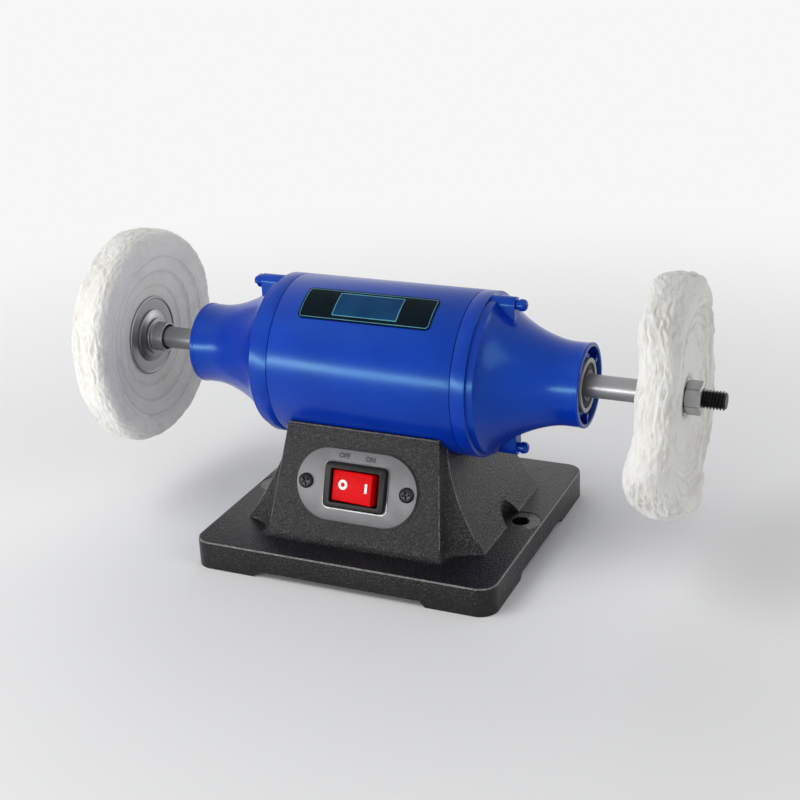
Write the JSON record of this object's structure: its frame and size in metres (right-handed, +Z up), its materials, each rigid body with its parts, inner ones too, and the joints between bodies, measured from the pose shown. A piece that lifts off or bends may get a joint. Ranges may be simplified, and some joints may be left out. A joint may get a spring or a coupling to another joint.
{
  "type": "bench polishing machine",
  "caption": "Bench polishing machine: a blue motor on a black cast base with a rocker switch, and a sewn cloth wheel clamped on each end of its shaft.",
  "frame": {"origin": "on the bench under the middle of the base", "axes": "+X along the motor's shaft towards the right wheel, -Y towards the user on the switch side, +Z up"},
  "size_m": [0.448, 0.1934, 0.198],
  "materials": {
    "black_cast": "black crackle paint on cast iron, worn pale on the edges",
    "blue_paint": "glossy deep blue enamel",
    "black_label": "thin black lacquered metal plate, bare",
    "grey_sheet": "satin grey sheet metal",
    "black_plastic": "black moulded plastic",
    "red_plastic": "red moulded plastic",
    "bright_steel": "turned and polished steel",
    "dull_steel": "plain zinc grey steel",
    "dark_steel": "blackened steel",
    "black_rubber": "black nitrile rubber",
    "copper_wire": "lacquered copper wire",
    "cast_aluminium": "as cast aluminium",
    "white_cloth": "unbleached white cotton, sewn in rings",
    "brass_blade": "plain brass",
    "white_case": "off-white plastic"
  },
  "bodies": {
    "base": {"base_casting": "black_cast", "bottom_cover": "dull_steel", "start_capacitor": "white_case", "capacitor_clip": "dull_steel", "terminal_block": "white_case", "cable_gland": "black_plastic", "cable_gland_nut": "black_plastic", "switch_plate": "grey_sheet", "switch_plate_screw_left": "dark_steel", "switch_plate_screw_right": "dark_steel", "switch_housing": "black_plastic", "motor_shell": "blue_paint", "name_plate": "black_label", "left_saddle_screw": "dark_steel", "right_saddle_screw": "dark_steel", "left_saddle_nut": "dull_steel", "right_saddle_nut": "dull_steel", "stator_core": "dull_steel", "tie_bolt_top": "blue_paint", "tie_bolt_bottom": "blue_paint", "tie_nut_top": "blue_paint", "tie_nut_bottom": "blue_paint", "cover_screw_front_left": "dark_steel", "cover_screw_front_right": "dark_steel", "cover_screw_back_left": "dark_steel", "cover_screw_back_right": "dark_steel", "switch_terminal_upper_left": "brass_blade", "switch_terminal_upper_right": "brass_blade", "switch_terminal_lower_left": "brass_blade", "switch_terminal_lower_right": "brass_blade", "left_end_bell": "blue_paint", "left_winding_head": "copper_wire", "left_bearing_outer_ring": "bright_steel", "left_bearing_seal": "black_rubber", "right_end_bell": "blue_paint", "right_winding_head": "copper_wire", "right_bearing_outer_ring": "bright_steel", "right_bearing_seal": "black_rubber"},
    "rotor": {"shaft": "bright_steel", "rotor_core": "dull_steel", "left_bearing_inner_ring": "bright_steel", "left_rotor_end_ring": "cast_aluminium", "left_flange_collar": "bright_steel", "left_domed_washer": "bright_steel", "left_flange_washer": "bright_steel", "left_cloth_wheel": "white_cloth", "left_outer_washer": "dull_steel", "left_wheel_nut": "dull_steel", "right_bearing_inner_ring": "bright_steel", "right_rotor_end_ring": "cast_aluminium", "right_flange_collar": "bright_steel", "right_domed_washer": "bright_steel", "right_flange_washer": "bright_steel", "right_cloth_wheel": "white_cloth", "right_outer_washer": "dull_steel", "right_wheel_nut": "dull_steel"},
    "rocker": {"switch_rocker": "red_plastic"},
    "left_cage": {"left_bearing_cage": "bright_steel"},
    "right_cage": {"right_bearing_cage": "bright_steel"}
  },
  "joints": [
    {"name": "rotor_spin", "type": "hinge", "parent": "base", "child": "rotor", "pos_m": [0, 0, 0.122], "axis": [1, 0, 0], "continuous": true},
    {"name": "rocker_tilt", "type": "hinge", "parent": "base", "child": "rocker", "pos_m": [0, -0.05676, 0.05605], "axis": [0, 0.3244, 0.9459], "range_deg": [0, 20]},
    {"name": "left_cage_spin", "type": "hinge", "parent": "base", "child": "left_cage", "pos_m": [-0.1317, 0, 0.122], "axis": [1, 0, 0], "continuous": true},
    {"name": "right_cage_spin", "type": "hinge", "parent": "base", "child": "right_cage", "pos_m": [0.1317, 0, 0.122], "axis": [1, 0, 0], "continuous": true}
  ],
  "couplings": [
    {"joint": "left_cage_spin", "follows": "rotor_spin", "ratio": 0.42},
    {"joint": "right_cage_spin", "follows": "rotor_spin", "ratio": 0.42}
  ]
}
